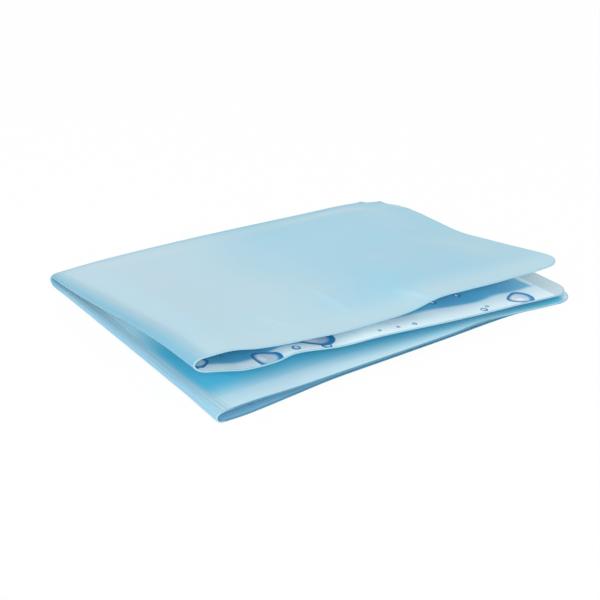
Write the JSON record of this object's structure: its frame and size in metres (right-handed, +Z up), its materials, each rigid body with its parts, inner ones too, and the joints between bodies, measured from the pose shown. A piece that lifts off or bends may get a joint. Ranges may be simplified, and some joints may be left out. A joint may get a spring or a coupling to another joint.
{
  "type": "cooling gel mat",
  "caption": "Flexible gel-filled cooling mat, folded flat with its printed face inside; welded film covers hold gel pads that cool whoever lies on the opened mat.",
  "frame": {"origin": "centre of the folded mat's bounding box, on the surface that it rests on", "axes": "+Z up from the surface, +X along the long edge from the side fold to the free side edges, +Y from the open front edge to the back fold"},
  "size_m": [0.202, 0.1506, 0.0246],
  "materials": {
    "plain_film": "satin",
    "printed_film": "soft gloss with a water-drop print",
    "gel": "wet, translucent",
    "welded_film": "satin"
  },
  "bodies": {
    "bottom_quarter": {"bottom_back_film": "plain_film", "bottom_printed_film": "printed_film", "bottom_gel_pad": "gel", "lower_side_strip": "welded_film", "outer_back_strip_bottom": "welded_film"},
    "lower_inner_quarter": {"lower_inner_back_film": "plain_film", "lower_inner_printed_film": "printed_film", "lower_inner_gel_pad": "gel", "inner_back_strip": "welded_film"},
    "upper_inner_quarter": {"upper_inner_back_film": "plain_film", "upper_inner_printed_film": "printed_film", "upper_inner_gel_pad": "gel", "upper_side_strip": "welded_film"},
    "top_quarter": {"top_back_film": "plain_film", "top_printed_film": "printed_film", "top_gel_pad": "gel", "outer_back_strip_top": "welded_film"}
  },
  "joints": [
    {"name": "lower_side_fold", "type": "hinge", "parent": "bottom_quarter", "child": "lower_inner_quarter", "pos_m": [-0.10002, -0.00314, 0.00233], "axis": [0, -1, 0], "range_deg": [0, 180], "deforming": ["lower_side_strip"]},
    {"name": "back_fold", "type": "hinge", "parent": "lower_inner_quarter", "child": "upper_inner_quarter", "pos_m": [0, 0.07511, 0.0048], "axis": [-1, 0, 0], "range_deg": [0, 178], "deforming": ["inner_back_strip", "outer_back_strip_bottom", "outer_back_strip_top"]},
    {"name": "upper_side_fold", "type": "hinge", "parent": "upper_inner_quarter", "child": "top_quarter", "pos_m": [-0.09996, 0.07096, 0.0075], "axis": [0, -0.9979, 0.0643], "range_deg": [0, 180], "deforming": ["upper_side_strip"]}
  ],
  "couplings": [
    {"joint": "back_fold", "follows": "lower_side_fold", "ratio": 0.98888},
    {"joint": "upper_side_fold", "follows": "lower_side_fold", "ratio": 1}
  ]
}
